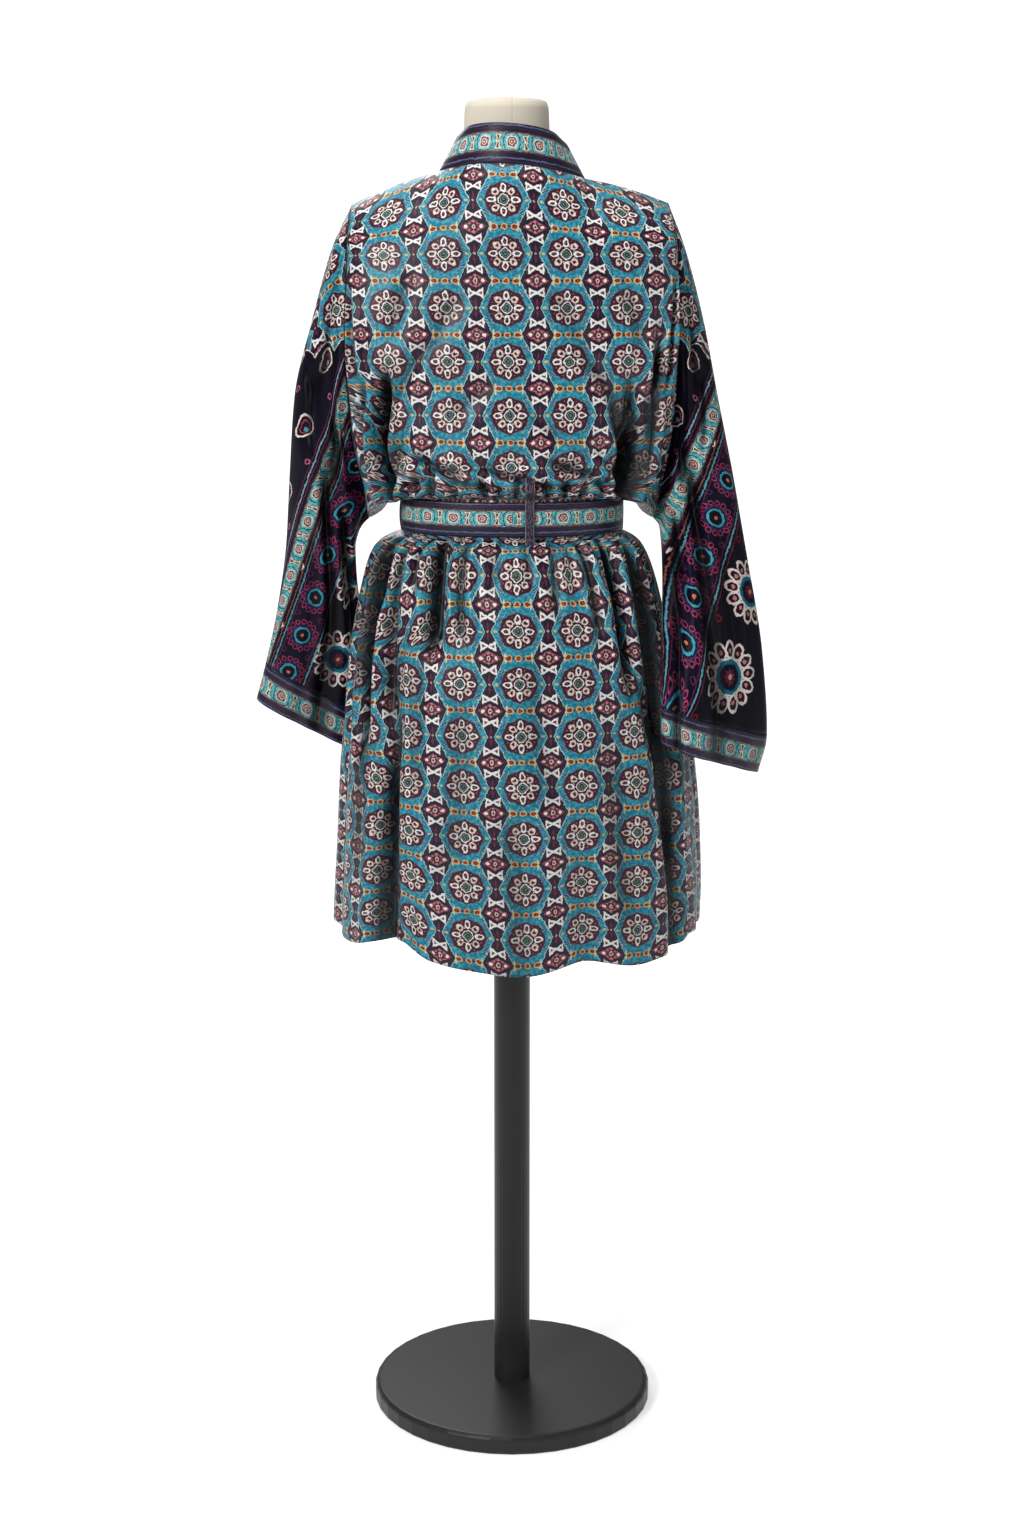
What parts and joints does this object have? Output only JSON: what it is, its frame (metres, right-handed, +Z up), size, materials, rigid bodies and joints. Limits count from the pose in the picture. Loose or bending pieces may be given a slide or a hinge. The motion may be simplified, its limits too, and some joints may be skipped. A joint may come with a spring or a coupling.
{
  "type": "long kimono jacket on a dress form stand",
  "caption": "Thigh-length kimono jacket in printed satin with wide open sleeves, border bands and a tied cloth belt, resting on a limbless dress form with a pole and a round base.",
  "frame": {"origin": "centre of the base's underside, on the floor", "axes": "+Z up along the pole, the garment's back faces +Y and its front -Y, the wearer's left side is +X"},
  "size_m": [0.6036, 0.342, 1.5746],
  "materials": {
    "printed_cloth": "soft satin cloth printed with teal and plum medallions",
    "sleeve_cloth": "soft satin cloth, medallion print above and aubergine floral print below",
    "border_cloth": "soft satin cloth with a teal border stripe between navy edges",
    "loop_cloth": "dark navy cloth",
    "form_cover": "matte cream jersey cover",
    "black_coat": "satin black powder coat"
  },
  "bodies": {
    "root": {"back_panel": "printed_cloth", "front_left": "printed_cloth", "front_right": "printed_cloth", "sleeve_left": "sleeve_cloth", "sleeve_right": "sleeve_cloth", "cuff_left": "border_cloth", "cuff_right": "border_cloth", "neckband": "border_cloth", "band_left": "border_cloth", "band_right": "border_cloth", "belt": "border_cloth", "belt_knot": "border_cloth", "belt_tail_left": "border_cloth", "belt_tail_right": "border_cloth", "belt_loop_back": "loop_cloth", "belt_loop_side": "loop_cloth", "dress_form": "form_cover", "pole": "black_coat", "base": "black_coat"}
  },
  "joints": []
}
